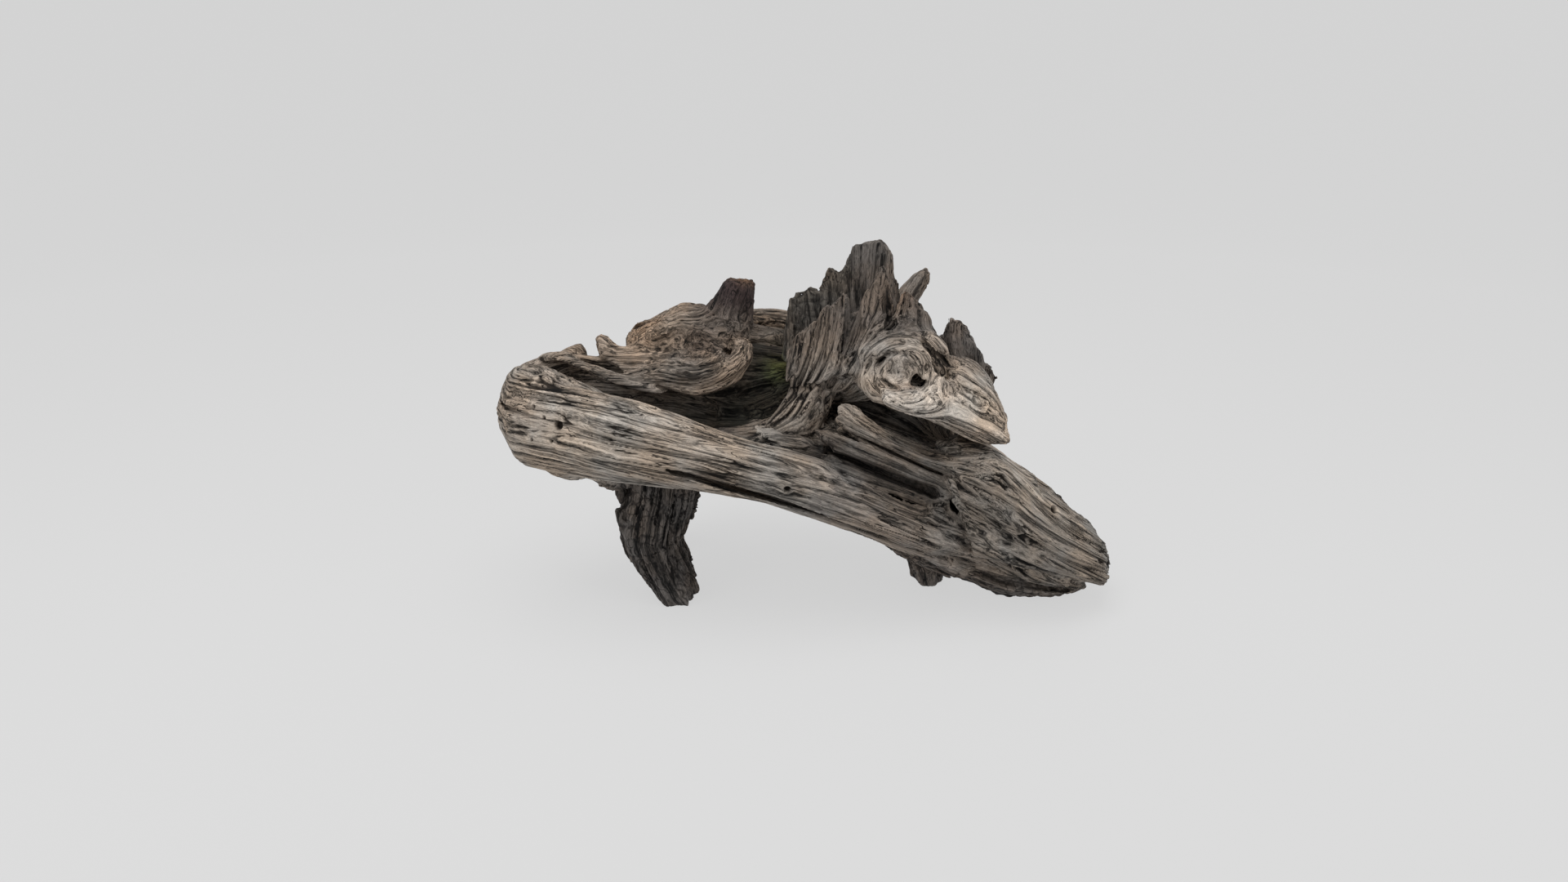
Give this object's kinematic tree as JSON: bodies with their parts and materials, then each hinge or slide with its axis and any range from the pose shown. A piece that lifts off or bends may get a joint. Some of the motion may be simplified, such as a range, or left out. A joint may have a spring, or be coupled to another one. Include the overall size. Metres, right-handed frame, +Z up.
{
  "type": "piece of driftwood",
  "caption": "Weathered piece of driftwood: a hollowed root crown with torn crest plates, curled shells and a long front root, standing on its broken roots.",
  "frame": {"origin": "middle of the bounding box's bottom face, on the ground that the feet stand on", "axes": "+X along the piece towards its thick worn end, +Y away from the open side, +Z up"},
  "size_m": [0.8504, 0.376, 0.4907],
  "materials": {
    "weathered_wood": "dry, open-grained, unfinished"
  },
  "bodies": {
    "root": {"driftwood": "weathered_wood"}
  },
  "joints": []
}
